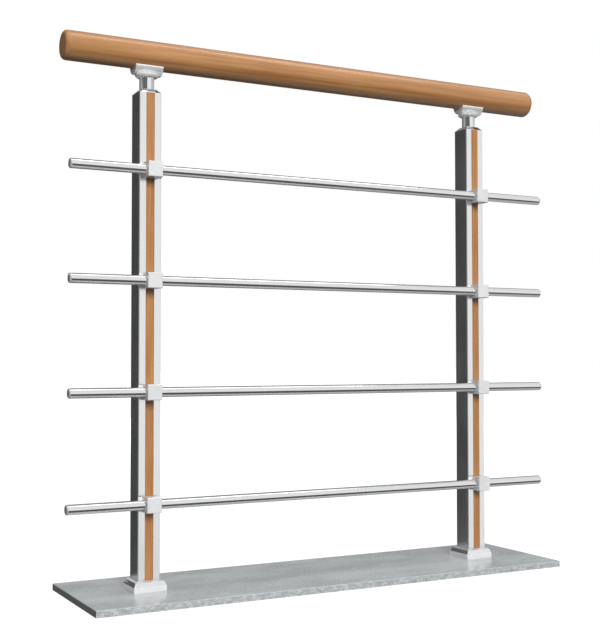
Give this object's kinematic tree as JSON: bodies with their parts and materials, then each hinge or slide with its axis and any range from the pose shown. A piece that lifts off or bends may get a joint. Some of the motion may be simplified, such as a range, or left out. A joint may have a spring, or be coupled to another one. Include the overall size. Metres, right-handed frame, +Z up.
{
  "type": "railing section",
  "caption": "Railing section: square metal posts with wood-look strips on a flat stone slab, a round wood-look handrail on saddle supports, and round bars held across the front by square clips.",
  "frame": {"origin": "middle of the stone slab's underside, on the level the railing stands on", "axes": "+X along the handrail towards the right-hand post, -Y towards the side that carries the bars, +Z up"},
  "size_m": [0.9905, 0.249, 0.9625],
  "materials": {
    "stone": "speckled grey granite, lightly polished top, paler polished edges",
    "post_metal": "bright anodised, smooth, mirrors its surroundings softly",
    "bar_metal": "bright anodised tube with a fine lengthwise polish, 17 mm",
    "foot_cover": "moulded two-step cover, light silver grey, satin",
    "clip_metal": "bright cast and polished",
    "support_metal": "polished, mirror bright",
    "clip_pad": "thin grey rubber pad",
    "bar_plug": "grey metallic plastic plug",
    "wood_strip": "wood-look foil, light oak, grain along the post",
    "handrail_wood": "aluminium tube in a satin wood-look foil with lengthwise grain",
    "handrail_cap": "wood-brown moulded cap with a rounded rim, satin"
  },
  "bodies": {
    "root": {"stone_slab": "stone", "post_left": "post_metal", "wood_strip_front_left": "wood_strip", "wood_strip_back_left": "wood_strip", "post_cap_left": "post_metal", "foot_cover_left": "foot_cover", "neck_left": "support_metal", "saddle_left": "support_metal", "clip_pads_left": "clip_pad", "post_right": "post_metal", "wood_strip_front_right": "wood_strip", "wood_strip_back_right": "wood_strip", "post_cap_right": "post_metal", "foot_cover_right": "foot_cover", "neck_right": "support_metal", "saddle_right": "support_metal", "clip_pads_right": "clip_pad", "handrail": "handrail_wood", "handrail_cap_left": "handrail_cap", "handrail_cap_right": "handrail_cap", "bar_1": "bar_metal", "bar_plug_1_left": "bar_plug", "bar_clip_1_left": "clip_metal", "bar_plug_1_right": "bar_plug", "bar_clip_1_right": "clip_metal", "bar_2": "bar_metal", "bar_plug_2_left": "bar_plug", "bar_clip_2_left": "clip_metal", "bar_plug_2_right": "bar_plug", "bar_clip_2_right": "clip_metal", "bar_3": "bar_metal", "bar_plug_3_left": "bar_plug", "bar_clip_3_left": "clip_metal", "bar_plug_3_right": "bar_plug", "bar_clip_3_right": "clip_metal", "bar_4": "bar_metal", "bar_plug_4_left": "bar_plug", "bar_clip_4_left": "clip_metal", "bar_plug_4_right": "bar_plug", "bar_clip_4_right": "clip_metal"}
  },
  "joints": []
}
